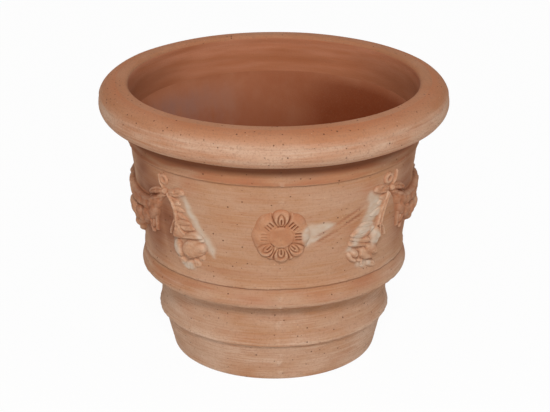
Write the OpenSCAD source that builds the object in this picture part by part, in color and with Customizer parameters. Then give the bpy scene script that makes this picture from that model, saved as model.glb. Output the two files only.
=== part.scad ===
// Festoon planter in unglazed terracotta.
// Two press-moulded wall halves stand round a floor slab and carry a rolled rim.
// Rosettes, ribbon bows, fruit drops and swags are pressed by themselves and luted on the frieze.
// Millimetres, +Z up, origin at the centre of the underside, front rosette towards -Y.

/* [Overall] */
// Outer diameter of the rolled rim
rim_d = 400; // [360:1:480]
// Height from the ground to the top of the rim
height = 323; // [290:1:400]
// Diameter of the foot where it meets the ground
base_d = 234; // [190:1:250]

/* [Tiers] */
// Height of the foot, up to the lower lip
foot_h = 48; // [30:1:60]
// How far the foot widens on each side, from the ground to the lower lip
foot_flare = 12; // [4:0.5:20]
// Rounding of the foot's ground edge
foot_round = 4; // [1:0.5:8]
// Radius of the bead along the lower lip
lip_bead = 3; // [2:0.25:5]
// How far the waist stands out past the top of the foot
waist_proud = 3; // [1:0.5:8]
// Height of the waist, between the lower lip and the upper band
waist_h = 57; // [40:1:70]
// How far the upper band stands out past the waist
band_proud = 21.5; // [10:0.5:30]
// Height of the upper band
band_h = 22; // [14:1:32]
// Rounding of the upper band's lower edge
band_edge = 4; // [2:0.5:6]
// How far the upper band draws back towards its top
band_draw = 6; // [3:0.5:10]
// How far the frieze stands out past the top of the upper band
frieze_proud = 1; // [0.5:0.25:4]
// Radius of the bead along the bottom of the frieze
frieze_bead = 2.6; // [1.5:0.1:4]
// Height of the neck, between the frieze and the rim
neck_h = 30; // [20:1:45]
// How far the neck widens on each side, up to the rim
neck_flare = 5.5; // [3:0.5:10]
// How far the neck stands out past the top of the frieze
neck_step = 2; // [1:0.25:4]
// Rounding of the neck's lower edge
neck_edge = 2.5; // [1:0.25:4]

/* [Rim and floor] */
// Thickness of the rim roll, top to bottom
rim_h = 43; // [30:1:56]
// How far the rim roll stands out past the neck
rim_overhang = 28.5; // [22:0.5:36]
// How far the mouth widens on each side, up through the rim
mouth_flare = 7; // [3:0.5:10]
// Wall thickness at the neck and under the upper band
wall_t = 11.5; // [9:0.5:16]
// Thickness of the floor slab
floor_t = 20; // [14:1:30]
// Diameter of the drain hole
drain_d = 32; // [16:1:44]
// Gap left between the floor slab and the wall
floor_gap = 0.2; // [0.1:0.05:0.5]

/* [Rosettes] */
// Diameter of a rosette
rosette_d = 66; // [48:1:80]
// Height of a rosette's centre above the bottom of the frieze
rosette_up = 67; // [50:1:75]
// Diameter of the plain boss in the middle
boss_d = 28; // [20:1:34]
// How far the boss stands out from the wall
boss_relief = 10; // [7:0.5:14]
// Number of petals
petals = 8; // [6:1:10]

/* [Bows and drops] */
// Angle of a bow from the nearest rosette
bow_angle = 50; // [42:1:60]
// Distance of a bow's knot below the top of the frieze
knot_down = 22; // [18:1:30]
// Radius of the knot
knot_r = 7; // [5:0.5:9]
// Reach of a bow loop, from the knot outwards
loop_reach = 28; // [22:1:34]
// Height of a bow loop
loop_h = 16; // [12:1:20]
// Radius of the ring loop that stands up from the knot
ring_r = 7; // [5:0.5:9]
// Half width of the ribbon
ribbon_r = 3.5; // [2.5:0.25:4.5]
// How far the ribbon stands out from the wall
ribbon_relief = 5.5; // [4:0.5:8]
// Length of the ribbon's long tail, below the knot
tail_len = 50; // [36:1:60]
// Distance of a drop's lowest berry above the bottom of the frieze
drop_up = 9; // [6:1:16]
// Sideways distance from the knot to the middle of a drop's fruit
drop_swing = 28; // [22:1:36]
// Radius of the large fruit in a drop
fruit_r = 13; // [9:0.5:15]

/* [Swags] */
// Depth of a swag's middle below the knots
swag_sag = 41; // [34:1:54]
// Thickness of a swag at its middle
swag_w = 42; // [28:1:44]
// How far a swag stands out from the wall
swag_relief = 15; // [11:0.5:18]
// Number of large fruits in a swag
swag_fruits = 7; // [5:2:11]
// Thickness of the slip that each pressed ornament is bedded in
slip_gap = 0.1; // [0.05:0.05:0.4]

/* [Hidden] */
clay = "#C08F70";
clay_rim = "#CBA083";
clay_sprig = "#C9987A";
clay_inside = "#8C5338";
over = 1;
// Levels, from the ground up
z_band = foot_h + waist_h;
z_frieze = z_band + band_h;
z_rim = height - rim_h;
z_neck = z_rim - neck_h;
// Radii, from the foot up to the frieze and from the rim down to the neck
base_r = base_d / 2;
foot_top_r = base_r + foot_flare;
waist_r = foot_top_r + waist_proud;
band_r = waist_r + band_proud;
frieze_low_r = band_r - band_draw + frieze_proud;
rim_r = rim_d / 2;
neck_top_r = rim_r - rim_overhang;
neck_low_r = neck_top_r - neck_flare;
frieze_top_r = neck_low_r - neck_step;
// The inner face is one cone, a wall's thickness inside the neck and inside the waist's top
mouth_r = neck_top_r - wall_t;
inner_slope = (neck_top_r - waist_r) / (z_rim - z_band);
function inner_r(z) = mouth_r + (z - z_rim) * inner_slope;
// The frieze is a cone too, and the ornament lies on it
frieze_slope = (frieze_top_r - frieze_low_r) / (z_neck - z_frieze);
frieze_tilt = atan(frieze_slope);
function frieze_r(z) = frieze_low_r + (z - z_frieze) * frieze_slope;
// A place on the frieze, u to the right of a bearing and z up, lifted off the wall
function on_frieze(bearing, u, z, lift) =
  let (a = bearing + u / frieze_r(z) * 180 / PI, r = frieze_r(z) + lift)
  [r * sin(a), -r * cos(a), z];
function radius_of_arc(rise, run) = (rise * rise + run * run) / (2 * run);
// Places of the ornament
rosette_z = z_frieze + rosette_up;
z_knot = z_neck - knot_down;
z_drop = z_frieze + drop_up;
back = 180;
side_on = 90;

// Outer outline of the wall, from the axis out
module wall_outline() {
  foot_angle = 90 + atan(foot_flare / foot_h);
  foot_run = foot_round / tan(foot_angle / 2);
  foot_side = foot_run / norm([foot_flare, foot_h]);
  band_arc = radius_of_arc(band_h - band_edge, band_draw);
  neck_arc = radius_of_arc(neck_h - neck_edge, neck_flare);
  difference() {
    union() {
      polygon([
        [0, 0],
        [base_r - foot_run, 0],
        [base_r + foot_flare * foot_side, foot_h * foot_side],
        [foot_top_r, foot_h],
        [waist_r, foot_h],
        [waist_r, z_band],
        [band_r - band_edge, z_band],
        [band_r, z_band + band_edge],
        [band_r - band_draw, z_frieze],
        [frieze_low_r, z_frieze],
        [frieze_top_r, z_neck],
        [neck_low_r - neck_edge, z_neck],
        [neck_low_r, z_neck + neck_edge],
        [neck_top_r, z_neck + neck_edge],
        [neck_top_r, z_rim],
        [0, z_rim]
      ]);
      translate([base_r - foot_run, foot_round]) circle(foot_round);
      translate([waist_r - lip_bead / 2, foot_h + lip_bead]) circle(lip_bead);
      translate([band_r - band_edge, z_band + band_edge]) circle(band_edge);
      intersection() {
        translate([band_r - band_arc, z_band + band_edge]) circle(band_arc);
        translate([waist_r - wall_t, z_band + band_edge]) square([band_proud + wall_t, band_h - band_edge]);
      }
      translate([frieze_low_r - frieze_bead / 2, z_frieze + frieze_bead]) circle(frieze_bead);
      translate([neck_low_r - neck_edge, z_neck + neck_edge]) circle(neck_edge);
    }
    translate([neck_low_r + neck_arc, z_neck + neck_edge]) circle(neck_arc);
  }
}

module wall_section() {
  difference() {
    wall_outline();
    polygon([
      [-over, -over],
      [inner_r(-over), -over],
      [inner_r(z_rim + over), z_rim + over],
      [-over, z_rim + over]
    ]);
  }
}

module floor_slab() {
  color(clay_inside) difference() {
    cylinder(h = floor_t, r1 = inner_r(0) - floor_gap, r2 = inner_r(floor_t) - floor_gap);
    translate([0, 0, -over]) cylinder(h = floor_t + 2 * over, d = drain_d);
  }
}

module wall_half(start_angle) {
  color(clay) rotate_extrude(angle = 180, start = start_angle) wall_section();
}

module rim_roll() {
  roll_r = rim_h / 2;
  color(clay_rim) rotate_extrude() difference() {
    union() {
      translate([rim_r - roll_r, z_rim + roll_r]) circle(roll_r);
      translate([mouth_r, z_rim]) square([wall_t, roll_r]);
    }
    polygon([
      [0, z_rim - over],
      [mouth_r, z_rim - over],
      [mouth_r, z_rim],
      [mouth_r + mouth_flare, height],
      [0, height]
    ]);
  }
}

// The wall that the ornament is bedded on, a slip's thickness proud of the frieze and of the neck's edge
module wall_bed() {
  sides = 96;
  grow = 1 / cos(180 / sides);
  low = frieze_r(z_frieze) + slip_gap;
  high = frieze_r(z_neck) + slip_gap;
  translate([0, 0, z_frieze])
    cylinder(h = z_neck - z_frieze, r1 = low * grow, r2 = high * grow, $fn = sides);
  translate([0, 0, z_neck - slip_gap])
    cylinder(h = neck_h, r = rim_r, $fn = sides);
}

// A ball sunk in the wall so that it stands out by its relief
module boss(bearing, place, r, relief, sides = 6) {
  translate(on_frieze(bearing, place[0], place[1], relief - r)) sphere(r, $fn = sides);
}

// A ribbon or stem along places [u, z] on the frieze
module strand(bearing, places, r, relief) {
  for (i = [0 : len(places) - 2]) hull() {
    boss(bearing, places[i], r, relief);
    boss(bearing, places[i + 1], r, relief);
  }
}

// A fruit drawn out between two places, with a radius at each
module long_fruit(bearing, from, to, from_r, to_r, sides = 10) {
  hull() {
    boss(bearing, from, from_r, from_r, sides);
    boss(bearing, to, to_r, to_r, sides);
  }
}

// A leaf that swells past its middle and ends in a point
module leaf(bearing, from, to, half_w, relief) {
  belly_share = 0.55;
  tip_share = 0.3;
  root_relief = relief * 0.7;
  tip_relief = relief * 0.5;
  belly = from + belly_share * (to - from);
  hull() {
    boss(bearing, from, tip_share * half_w, root_relief, 4);
    boss(bearing, belly, half_w, relief);
    boss(bearing, to, tip_share * half_w, tip_relief, 4);
  }
}

// A ring of egg-shaped petals with a slot in each, round a plain boss
module rosette(bearing) {
  petal_r = 10.5;
  petal_relief = 6.5;
  root_r = 4;
  root_relief = 8.5;
  slot_r = 1.3;
  slot_inset = 2;
  boss_spread = 8;
  ring = rosette_d / 2 - petal_r;
  root = boss_d / 2;
  function petal_place(i, reach) =
    let (turn = 90 + i * 360 / petals)
    [reach * cos(turn), rosette_z + reach * sin(turn)];
  color(clay_sprig) difference() {
    union() {
      translate(on_frieze(bearing, 0, rosette_z, 0)) rotate([90 + frieze_tilt, 0, bearing])
        translate([0, 0, -petal_r])
          cylinder(h = petal_r + boss_relief, d1 = boss_d + boss_spread, d2 = boss_d, $fn = 24);
      for (i = [0 : petals - 1]) hull() {
        boss(bearing, petal_place(i, root), root_r, root_relief, 6);
        boss(bearing, petal_place(i, ring), petal_r, petal_relief, 10);
      }
    }
    for (i = [0 : petals - 1]) hull() for (reach = [root + slot_inset, ring + slot_inset])
      boss(bearing, petal_place(i, reach), slot_r, petal_relief + 2 * slot_r, 6);
    wall_bed();
  }
}

// A knot with a loop to each hand, a ring loop above, a short tail and a long one.
// The short tail hangs to the side that is given, and grow swells the whole bow
module bow_form(bearing, side, grow = 0) {
  knot_relief = knot_r + 1;
  loop_rise = 2;
  loop_swell = 0.35;
  ring_rise = 3;
  tail_r = 3;
  tail_relief = 4;
  steps = 7;
  r = ribbon_r + grow;
  loop = [for (i = [0 : steps]) let (t = i * 360 / steps, out = (1 - cos(t)) / 2)
    [loop_reach * out, loop_rise + loop_h / 2 * sin(t) * (loop_swell + (1 - loop_swell) * out)]];
  ring = [for (i = [0 : steps]) let (t = i * 360 / steps)
    [ring_r / 2 + ring_r * sin(t), ring_rise + ring_r - ring_r * cos(t)]];
  // Places sideways and up from the knot, and the long tail's in shares of its length
  short_tail = [[3, -3], [12, -8]];
  long_tail = [for (p = [[-4, -0.08], [-16, -0.3], [-22, -0.65], [-19, -1]]) [p[0], p[1] * tail_len]];
  function place(p) = [side * p[0], z_knot + p[1]];
  boss(bearing, place([0, 0]), knot_r + grow, knot_relief + grow, 10);
  for (hand = [-1, 1])
    strand(bearing, [for (p = loop) place([hand * p[0], p[1]])], r, ribbon_relief + grow);
  strand(bearing, [for (p = ring) place(p)], tail_r + grow, ribbon_relief + grow);
  strand(bearing, [for (p = short_tail) place(p)], tail_r + grow, tail_relief + grow);
  strand(bearing, [for (p = long_tail) place(p)], r, tail_relief + grow);
}

module bow(bearing, side) {
  color(clay_sprig) difference() {
    bow_form(bearing, side);
    wall_bed();
  }
}

// Leaves and fruit on a stem from the knot, swung to the side that is given.
// The bunch keeps its shape, and the stem takes up the height that is left
module drop(bearing, side) {
  stem_r = 3;
  stem_relief = 4;
  berry_lift = 1;
  // Places sideways from the middle of the bunch and up from its lowest berry
  stem_end = [-15, 56];
  leaves = [
    [[-16, 66], [4, 61], 5, 4.5],
    [[-15, 58], [13, 53], 6, 6],
    [[-15, 50], [21, 45], 6.5, 7],
    [[-16, 42], [26, 37], 6.5, 7.5],
    [[-16, 54], [-22, 33], 7, 7]
  ];
  berries = [[-22, 8, 6], [-13.5, 8, 6], [-5, 7.5, 6.5], [4, 7.5, 6.5], [12.5, 11, 6], [20, 16, 6]];
  pear = [[-21, 20], [-20, 33], 7, 5];
  apple = [[5, 28], [15, 30]];
  function hang(p) = [side * (drop_swing + p[0]), z_drop + p[1]];
  top = [side * knot_r / 2, z_knot - knot_r];
  middle = (top + hang(stem_end)) / 2 + [side * stem_r, 0];
  color(clay_sprig) difference() {
    union() {
      strand(bearing, [top, middle, hang(stem_end)], stem_r, stem_relief);
      for (l = leaves) leaf(bearing, hang(l[0]), hang(l[1]), l[2], l[3]);
      for (b = berries) boss(bearing, hang(b), b[2], b[2] + berry_lift);
      long_fruit(bearing, hang(pear[0]), hang(pear[1]), pear[2], pear[3], 8);
      long_fruit(bearing, hang(apple[0]), hang(apple[1]), fruit_r, fruit_r, 10);
    }
    bow_form(bearing, side, slip_gap);
    wall_bed();
  }
}

// A garland between two bows: fruit along the middle, with leaves that fan out above and below
module swag(bearing) {
  half_span = (side_on - bow_angle) * PI / 180 * frieze_r(z_knot);
  leaf_share = 0.0625;
  leaf_w = half_span * leaf_share;
  leaf_relief = swag_relief * 0.6;
  leaf_root = 0.22;
  leaf_fan = 0.72;
  fruit_share = 0.36;
  steep = 4;
  fruit_reach = 0.86;
  leaf_reach = 0.78;
  leaf_step = 0.2;
  leaf_len = 0.28;
  pairs = 4;
  // Along runs from -1 at one knot to 1 at the other, and out from -1 at the lower edge to 1 at the upper
  function thick(along) = swag_w * sqrt(1 - pow(abs(along), steep));
  function garland(along, out) = [
    along * half_span,
    z_knot - swag_sag * (1 - pow(abs(along), steep)) + out * thick(along) / 2
  ];
  color(clay_sprig) difference() {
    union() {
      for (i = [0 : swag_fruits - 1]) {
        along = fruit_reach * (-1 + (2 * i + 1) / swag_fruits);
        boss(bearing, garland(along, 0), thick(along) * fruit_share, swag_relief, 8);
      }
      for (hand = [-1, 1], edge = [-1, 1], i = [0 : pairs - 1]) {
        from = hand * (leaf_reach - i * leaf_step);
        root = garland(from, edge * leaf_root);
        tip = garland(from - hand * leaf_len, edge * leaf_fan);
        leaf(bearing, root, tip, leaf_w, leaf_relief);
      }
    }
    bow_form(bearing - side_on + bow_angle, -1, slip_gap);
    bow_form(bearing + side_on - bow_angle, 1, slip_gap);
    wall_bed();
  }
}

floor_slab();
wall_half(90);  // wall_half_left
wall_half(-90);  // wall_half_right
rim_roll();
rosette(0);  // rosette_front
rosette(back);  // rosette_back
bow(-bow_angle, 1);  // bow_front_left
bow(bow_angle, -1);  // bow_front_right
bow(bow_angle - back, -1);  // bow_back_left
bow(back - bow_angle, 1);  // bow_back_right
drop(-bow_angle, 1);  // drop_front_left
drop(bow_angle, -1);  // drop_front_right
drop(bow_angle - back, -1);  // drop_back_left
drop(back - bow_angle, 1);  // drop_back_right
swag(-side_on);  // swag_left
swag(side_on);  // swag_right
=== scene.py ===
import math
import bmesh
import bpy
import numpy as np
from mathutils import Matrix, Vector, noise


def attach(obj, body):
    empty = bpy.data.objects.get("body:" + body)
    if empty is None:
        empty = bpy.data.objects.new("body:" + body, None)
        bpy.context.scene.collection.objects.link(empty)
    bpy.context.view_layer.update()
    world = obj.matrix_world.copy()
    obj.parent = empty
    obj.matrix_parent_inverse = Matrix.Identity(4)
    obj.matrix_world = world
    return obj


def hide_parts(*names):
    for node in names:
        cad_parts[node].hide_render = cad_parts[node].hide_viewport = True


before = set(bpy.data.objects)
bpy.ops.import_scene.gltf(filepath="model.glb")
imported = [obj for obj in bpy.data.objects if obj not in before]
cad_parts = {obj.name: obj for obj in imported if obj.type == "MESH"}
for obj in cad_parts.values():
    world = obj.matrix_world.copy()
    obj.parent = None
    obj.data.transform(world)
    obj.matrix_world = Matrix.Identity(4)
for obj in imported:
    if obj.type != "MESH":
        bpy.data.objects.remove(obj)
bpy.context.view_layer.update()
print("frame loaded:", len(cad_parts), "nodes")

mm = 0.001
sharpAngle = 1.0  # radians, from which an edge is shaded sharp
far = 999.0  # mm, beyond anything on the pot
weld = 0.001  # mm, points this near each other are one
tiny = 1e-9  # keeps a division by a length of nothing from failing


# Small tools

def hexColour(code):
    # sRGB hex to the linear colour that a shader socket takes
    parts = [int(code[i:i + 2], 16) / 255 for i in (1, 3, 5)]
    return [c / 12.92 if c <= 0.04045 else ((c + 0.055) / 1.055) ** 2.4 for c in parts] + [1.0]


def addNode(tree, kind, inputs=None, **settings):
    node = tree.nodes.new(kind)
    for name, value in settings.items():
        setattr(node, name, value)
    for socket, value in (inputs or {}).items():
        if isinstance(value, bpy.types.NodeSocket):
            tree.links.new(value, node.inputs[socket])
        else:
            node.inputs[socket].default_value = value
    return node


def ramp(value, low, high):
    # Smooth step from 0 at low to 1 at high
    t = np.clip((value - low) / (high - low), 0, 1)
    return t * t * (3 - 2 * t)


def cloudy(place, reach, seed):
    # Soft noise from -1 to 1, place and reach in mm
    return noise.noise(Vector((place[0] / reach[0] + seed, place[1] / reach[1], place[2] / reach[2])))


def blotch(place, spec):
    # Soft noise given as a reach in mm, a seed and a strength
    reach, seed, strength = spec
    return strength * cloudy(place, reach, seed)


def bands(z, lines):
    # Soft lines round the pot, each a height, a reach and a strength
    return sum(strength * math.exp(-((z - height) / reach) ** 2) for height, reach, strength in lines)


def markLayers(bm):
    return {mark: bm.verts.layers.float.new(mark) for mark in markNames}


def finishPiece(bm, name, materials, node):
    # Mesh in mm to a finished piece in metres that stands for its node
    for edge in bm.edges:
        edge.smooth = edge.calc_face_angle(0) < sharpAngle
    bmesh.ops.scale(bm, vec=(mm, mm, mm), verts=bm.verts)
    mesh = bpy.data.meshes.new(name)
    bm.to_mesh(mesh)
    bm.free()
    mesh.polygons.foreach_set("use_smooth", [True] * len(mesh.polygons))
    for material in materials:
        mesh.materials.append(material)
    piece = bpy.data.objects.new(name, mesh)
    bpy.context.scene.collection.objects.link(piece)
    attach(piece, "root")
    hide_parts(node)


# Clay finishes

# Fired terracotta, unglazed: matt and chalky, with cloudy firing colour, wiping streaks, specks, a bloom of
# lime, pale slip at the joints, and painted shade in open pinholes and in the creases. Sizes are in mm
clayLooks = {
    # Wall, wiped with a wet cloth round the pot
    "wipedTerracotta": {
        "deep": "#B7845F", "body": "#BA8D6E", "wipe": "#BF9778", "bloom": "#D0AE95", "stain": "#AE6C49",
        "cloud": (60, 26), "streak": (55, 1.7), "streakCover": 0.45, "streakBump": 0.2,
        "grain": 2.2, "grainCover": 0.6, "pitSpacing": 5.2, "pit": 1.2, "pitCover": 0.9, "dragCover": 0.5,
    },
    # Rim, rolled and thumbed smooth, with more pinholes
    "rolledTerracotta": {
        "deep": "#B97D58", "body": "#C08967", "wipe": "#C89677", "bloom": "#D0AE95", "stain": "#C4784F",
        "cloud": (80, 20), "streak": (90, 2.2), "streakCover": 0.25, "streakBump": 0.08,
        "grain": 2.3, "grainCover": 0.8, "pitSpacing": 4.8, "pit": 1.3, "pitCover": 0.9, "dragCover": 0.3,
    },
    # Inside of the rim, smoothed by a wet hand and free of lime
    "collarTerracotta": {
        "deep": "#C27B57", "body": "#CC8866", "wipe": "#D09676", "bloom": "#C4957A", "stain": "#A4603A",
        "cloud": (70, 9), "streak": (80, 5), "streakCover": 0.3, "streakBump": 0.15,
        "grain": 2.0, "grainCover": 0.25, "pitSpacing": 18, "pit": 0.9, "pitCover": 0.5, "dragCover": 0.0,
    },
    # Inside of the wall and the floor, pressed against the mould by hand and fired redder
    "insideTerracotta": {
        "deep": "#B06B49", "body": "#BA7957", "wipe": "#BB8162", "bloom": "#9F7466", "stain": "#7A320C",
        "cloud": (70, 60), "streak": (14, 80), "streakCover": 0.2, "streakBump": 0.2,
        "grain": 2.0, "grainCover": 0.2, "pitSpacing": 18, "pit": 0.9, "pitCover": 0.5, "dragCover": 0.0,
    },
    # Ornament, pressed in a mould and not wiped
    "pressedTerracotta": {
        "deep": "#BA835F", "body": "#C5936F", "wipe": "#CB9E7E", "bloom": "#D4B095", "stain": "#AE6C49",
        "cloud": (18, 16), "streak": (9, 6), "streakCover": 0.4, "streakBump": 0.25,
        "grain": 2.0, "grainCover": 0.6, "pitSpacing": 9, "pit": 0.9, "pitCover": 0.6, "dragCover": 0.15,
    },
}
# What all the finishes share: colours, sizes in mm, and where each pattern sets in and is full
clayShared = {
    # The crease colour is painted shade in creases, hollows and under overhangs
    # The pit colour is painted shade inside the pinholes
    "slip": "#CDBBA8", "crease": "#6C3A21", "pit": "#5A3321", "speck": "#D6B08D", "grain": "#9F7258",
    "drag": "#AE6C49", "dragSize": (24, 1.1), "cloudFade": (0.36, 0.64), "streakFade": (0.45, 0.75),
    "grainFade": (0.5, 0.78), "dragFade": (0.6, 0.74), "limeFade": (0.7, 1.2), "dotCore": 0.4,
    "pitShare": 0.6, "speckSpacing": 1.3, "speckSize": 0.9, "speckShare": 0.4, "speckCover": 0.6,
    "roughness": (0.8, 0.98), "grainHeight": 0.45, "pitHeight": -0.7, "bump": 0.8, "ior": 1.5,
    "specular": 0.25,
    # Noise: how fine its detail goes and how strong the finest is
    "cloudDetail": 4.0, "streakDetail": 5.0, "dragDetail": 2.0, "stretchedRough": 0.6, "grainDetail": 3.0,
    "grainRough": 0.7,
}
# Marks that are painted on each vertex, from 0 to 1; the crease mark is painted shade in creases, hollows and
# under overhangs
markNames = ("bloom", "slip", "stain", "crease")


def makeClay(name, look):
    s = clayShared
    material = bpy.data.materials.new(name)
    material.use_nodes = True
    tree = material.node_tree
    shader = tree.nodes["Principled BSDF"]
    place = addNode(tree, "ShaderNodeTexCoord").outputs["Object"]

    def stretched(size, detail):
        # Noise drawn out round the pot, size is length and height
        across, high = (1 / (measure * mm) for measure in size)
        scaled = addNode(tree, "ShaderNodeMapping", {"Vector": place, "Scale": (across, across, high)})
        settings = {"Vector": scaled.outputs[0], "Scale": 1.0, "Detail": detail,
                    "Roughness": s["stretchedRough"]}
        return addNode(tree, "ShaderNodeTexNoise", settings).outputs[0]

    def dots(spacing, radius, share, cover):
        # Scattered round dots, share of the cells that have one
        cell = addNode(tree, "ShaderNodeTexVoronoi", {"Vector": place, "Scale": 1 / (spacing * mm)})
        luck = addNode(tree, "ShaderNodeSeparateColor", {0: cell.outputs["Color"]}).outputs[0]
        sizes = {0: luck, 1: 1 - share, 2: 1.0, 4: radius / spacing}
        size = addNode(tree, "ShaderNodeMapRange", sizes).outputs[0]
        core = addNode(tree, "ShaderNodeMath", {0: size, 1: s["dotCore"]}, operation="MULTIPLY").outputs[0]
        fade = {0: cell.outputs["Distance"], 1: size, 2: core, 4: cover}
        return addNode(tree, "ShaderNodeMapRange", fade).outputs[0]

    cloud = stretched(look["cloud"], s["cloudDetail"])
    streak = stretched(look["streak"], s["streakDetail"])
    drag = stretched(s["dragSize"], s["dragDetail"])  # short lines of the wiping tool
    fine = {"Vector": place, "Scale": 1 / (look["grain"] * mm), "Detail": s["grainDetail"],
            "Roughness": s["grainRough"]}
    grain = addNode(tree, "ShaderNodeTexNoise", fine).outputs[0]
    pits = dots(look["pitSpacing"], look["pit"], s["pitShare"], look["pitCover"])
    specks = dots(look["pitSpacing"] * s["speckSpacing"], look["pit"] * s["speckSize"], s["speckShare"],
                  s["speckCover"])
    marks = {}
    for mark in markNames:
        marks[mark] = addNode(tree, "ShaderNodeAttribute", attribute_name=mark).outputs["Fac"]
    # Lime settles in patches, so the painted bloom is broken up by the wiping and the cloud
    patch = addNode(tree, "ShaderNodeMath", {0: cloud, 1: streak}, operation="ADD").outputs[0]
    # How much of each pattern shows, from where it sets in to where it is full
    patterns = [("cloud", cloud, 1.0), ("streak", streak, look["streakCover"]),
                ("grain", grain, look["grainCover"]), ("drag", drag, look["dragCover"]), ("lime", patch, 1.0)]
    shown = {}
    for pattern, source, cover in patterns:
        low, full = s[pattern + "Fade"]
        shown[pattern] = addNode(tree, "ShaderNodeMapRange", {0: source, 1: low, 2: full, 4: cover})
    shown["cloud"].interpolation_type = "SMOOTHSTEP"
    lime = addNode(tree, "ShaderNodeMath", {0: marks["bloom"], 1: shown["lime"].outputs[0]},
                   operation="MULTIPLY").outputs[0]
    # Coats over the deep colour, from the lowest up
    coats = [
        (look["body"], shown["cloud"].outputs[0]),
        (look["wipe"], shown["streak"].outputs[0]),
        (look["stain"], marks["stain"]),
        (look["bloom"], lime),
        (s["grain"], shown["grain"].outputs[0]),
        (s["drag"], shown["drag"].outputs[0]),
        (s["speck"], specks),
        (s["slip"], marks["slip"]),
        # Painted shade in creases, hollows and under overhangs
        (s["crease"], marks["crease"]),
        # Pinholes darkened with painted shade inside them
        (s["pit"], pits),
    ]
    colour = hexColour(look["deep"])
    for tint, cover in coats:
        colour = addNode(tree, "ShaderNodeMix", {0: cover, 6: colour, 7: hexColour(tint)},
                         data_type="RGBA").outputs[2]
    tree.links.new(colour, shader.inputs["Base Color"])
    smoothest, roughest = s["roughness"]
    rough = addNode(tree, "ShaderNodeMapRange", {0: grain, 3: smoothest, 4: roughest})
    tree.links.new(rough.outputs[0], shader.inputs["Roughness"])
    # Heights in mm: grain and wiping stand up, pinholes go in
    height = 0.0
    for pattern, high in ((grain, s["grainHeight"]), (streak, look["streakBump"]), (pits, s["pitHeight"])):
        height = addNode(tree, "ShaderNodeMath", {0: pattern, 1: high, 2: height},
                         operation="MULTIPLY_ADD").outputs[0]
    bump = addNode(tree, "ShaderNodeBump", {"Height": height, "Distance": mm, "Strength": s["bump"]})
    tree.links.new(bump.outputs[0], shader.inputs["Normal"])
    shader.inputs["IOR"].default_value = s["ior"]
    shader.inputs["Specular IOR Level"].default_value = s["specular"]
    return material


clay = {name: makeClay(name, look) for name, look in clayLooks.items()}
print("clay finishes:", ", ".join(clay))


# Outlines, drawn in mm in the XZ plane and spun round the axis

def outlineTo(bm, last, r, z, cut=0):
    # Next corner of an outline, with how far along its edges the rounding starts
    corner = bm.verts.new((r, 0, z))
    corner[bm.verts.layers.float["cut"]] = cut
    if last:
        bm.edges.new((last, corner))
    return corner


def arcTo(bm, last, centre, degrees, steps):
    made = bmesh.ops.spin(bm, geom=[last], cent=(centre[0], 0, centre[1]), axis=(0, 1, 0),
                          angle=math.radians(degrees), steps=steps, use_duplicate=False)
    return [item for item in made["geom_last"] if isinstance(item, bmesh.types.BMVert)][0]


def roundCorners(bm, segments):
    cut = bm.verts.layers.float["cut"]
    for corner in [v for v in bm.verts if v[cut] > 0]:
        bmesh.ops.bevel(bm, geom=[corner], offset=corner[cut], offset_type="OFFSET", affect="VERTICES",
                        segments=segments, profile=0.5, material=-1)


def splitLong(bm, longest):
    # Split each edge of the outline until none is longer than it should be there
    for edge in list(bm.edges):
        middle = (edge.verts[0].co + edge.verts[1].co) / 2
        cuts = math.ceil(edge.calc_length() / longest(middle)) - 1
        if cuts > 0:
            bmesh.ops.subdivide_edges(bm, edges=[edge], cuts=cuts)


def drawOutline(bm, corners, rounding, longest):
    # Closed outline through corners of radius, height and rounding
    bm.verts.layers.float.new("cut")
    first = last = outlineTo(bm, None, *corners[0])
    for corner in corners[1:]:
        last = outlineTo(bm, last, *corner)
    bm.edges.new((last, first))
    roundCorners(bm, rounding)
    splitLong(bm, longest)


def spinRing(bm, steps):
    bmesh.ops.spin(bm, geom=bm.verts[:] + bm.edges[:], cent=(0, 0, 0), axis=(0, 0, 1), angle=2 * math.pi,
                   steps=steps, use_merge=True)
    bmesh.ops.remove_doubles(bm, verts=bm.verts, dist=weld)
    bmesh.ops.recalc_face_normals(bm, faces=bm.faces)


def bearingOf(co):
    # Degrees round the pot from the front, to the right
    return math.degrees(math.atan2(co.x, -co.y))


# Wall halves

wall = {
    "innerBase": 96.8, "mouth": 160, "rimSeat": 280, "topRadius": 171.5, "steps": 250, "rounding": 5,
    # Ends of the plain frieze: radius and height
    "friezeLow": (148.5, 127), "friezeTop": (164, 250),
    # Corners of the outside from the ground up: radius, height and how far off the rounding starts
    "outside": [
        (117, 0, 4.5), (128.7, 47.8, 1.1), (133.6, 48.9, 1.3), (134.2, 52.2, 1.7), (131.9, 59, 6),
        (131, 73, 9), (132, 103.4, 3), (150.6, 103.8, 2.4), (153.5, 107.2, 2.6), (153.2, 114, 6),
        (148, 126.2, 1.3), (150.5, 127.2, 1.2), (150.8, 130.2, 1.7), (149.4, 136.5, 4), (164.3, 253.4, 0.9),
        (166.4, 254.2, 1), (166.9, 257.5, 2), (166.8, 264, 5), (168.4, 272, 6),
    ],
    # Longest edges, and how far from the inside and the axis the fine ones start
    "outsideStep": 1.7, "insideStep": 6, "fineDepth": 5, "fineRadius": 112,
    # Faces and points this near the inside outline belong to it; a level face does not
    "insideFaces": 1, "insidePoints": 1.5, "level": 0.6,
}


def friezeRadius(z):
    (lowRadius, low), (topRadius, top) = wall["friezeLow"], wall["friezeTop"]
    return lowRadius + (z - low) / (top - low) * (topRadius - lowRadius)


def innerRadius(z):
    return wall["mouth"] + (z - wall["rimSeat"]) * (wall["mouth"] - wall["innerBase"]) / wall["rimSeat"]


def wallStep(co):
    fine = co.x > wall["fineRadius"] and co.x > innerRadius(co.z) + wall["fineDepth"]
    return wall["outsideStep"] if fine else wall["insideStep"]


def wallOutline(bm):
    top = [(wall["topRadius"], wall["rimSeat"], 0), (wall["mouth"], wall["rimSeat"], 0)]
    drawOutline(bm, [(wall["innerBase"], 0, 0)] + wall["outside"] + top, wall["rounding"], wallStep)


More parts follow.
